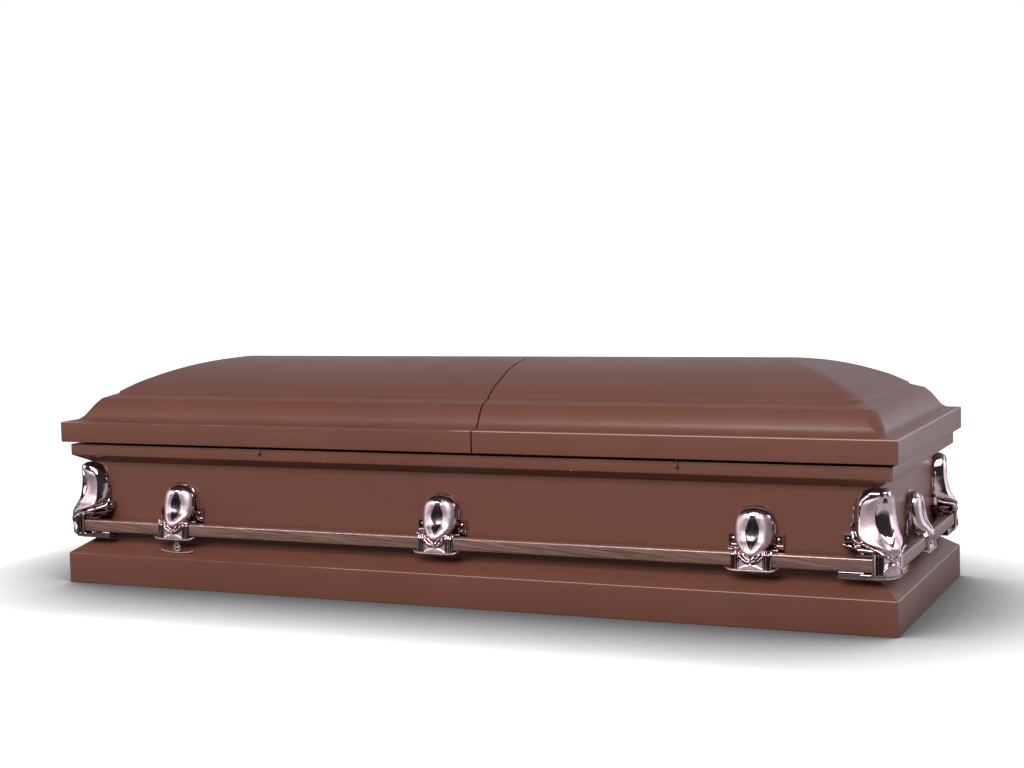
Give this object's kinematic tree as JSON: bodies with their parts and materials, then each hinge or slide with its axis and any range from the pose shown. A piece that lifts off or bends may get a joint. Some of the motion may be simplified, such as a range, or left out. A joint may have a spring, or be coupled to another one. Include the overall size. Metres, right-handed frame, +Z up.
{
  "type": "funeral casket",
  "caption": "Pressed-steel funeral casket with a flared base, two domed lids hinged at the back, and plated arms and corner fittings carrying a handle bar along every side.",
  "frame": {"origin": "middle of the underside, on the surface it stands on", "axes": "+X along the length towards the foot end, +Y from the front to the hinged back, +Z up"},
  "size_m": [2.138, 0.72, 0.558],
  "materials": {
    "paint": "satin to gloss copper-brown enamel",
    "plated": "bright rose-gold plating with frosted panels",
    "bar": "brushed copper-coloured metal",
    "hinge_steel": "satin painted steel",
    "catch_steel": "dark plated steel",
    "seal": "matt black"
  },
  "bodies": {
    "casket_body": {"base_moulding_front": "paint", "wall_panel_front": "paint", "top_moulding_front": "paint", "seal_front": "seal", "bar_front": "bar", "base_moulding_foot": "paint", "wall_panel_foot": "paint", "top_moulding_foot": "paint", "seal_foot": "seal", "bar_foot": "bar", "base_moulding_back": "paint", "wall_panel_back": "paint", "top_moulding_back": "paint", "seal_back": "seal", "bar_back": "bar", "base_moulding_head": "paint", "wall_panel_head": "paint", "top_moulding_head": "paint", "seal_head": "seal", "bar_head": "bar", "floor_panel": "paint", "hinge_body_leaf_head_1": "hinge_steel", "hinge_body_leaf_head_2": "hinge_steel", "catch_knob_head": "catch_steel", "hinge_body_leaf_foot_1": "hinge_steel", "hinge_body_leaf_foot_2": "hinge_steel", "catch_knob_foot": "catch_steel", "arm_front_1": "plated", "lug_front_1": "plated", "arm_front_2": "plated", "lug_front_2": "plated", "arm_front_3": "plated", "lug_front_3": "plated", "arm_foot": "plated", "lug_foot": "plated", "arm_back_1": "plated", "lug_back_1": "plated", "arm_back_2": "plated", "lug_back_2": "plated", "arm_back_3": "plated", "lug_back_3": "plated", "arm_head": "plated", "lug_head": "plated", "corner_front_foot": "plated", "corner_back_foot": "plated", "corner_back_head": "plated", "corner_front_head": "plated", "strap_front_1": "plated"},
    "lid_head": {"lid_head": "paint", "hinge_lid_leaf_head_1": "hinge_steel", "hinge_lid_leaf_head_2": "hinge_steel"},
    "lid_foot": {"lid_foot": "paint", "hinge_lid_leaf_foot_1": "hinge_steel", "hinge_lid_leaf_foot_2": "hinge_steel"}
  },
  "joints": [
    {"name": "lid_head_hinge", "type": "hinge", "parent": "casket_body", "child": "lid_head", "pos_m": [-0.495, 0.35, 0.355], "axis": [-1, 0, 0], "range_deg": [0, 95]},
    {"name": "lid_foot_hinge", "type": "hinge", "parent": "casket_body", "child": "lid_foot", "pos_m": [0.59, 0.35, 0.355], "axis": [-1, 0, 0], "range_deg": [0, 95]}
  ]
}
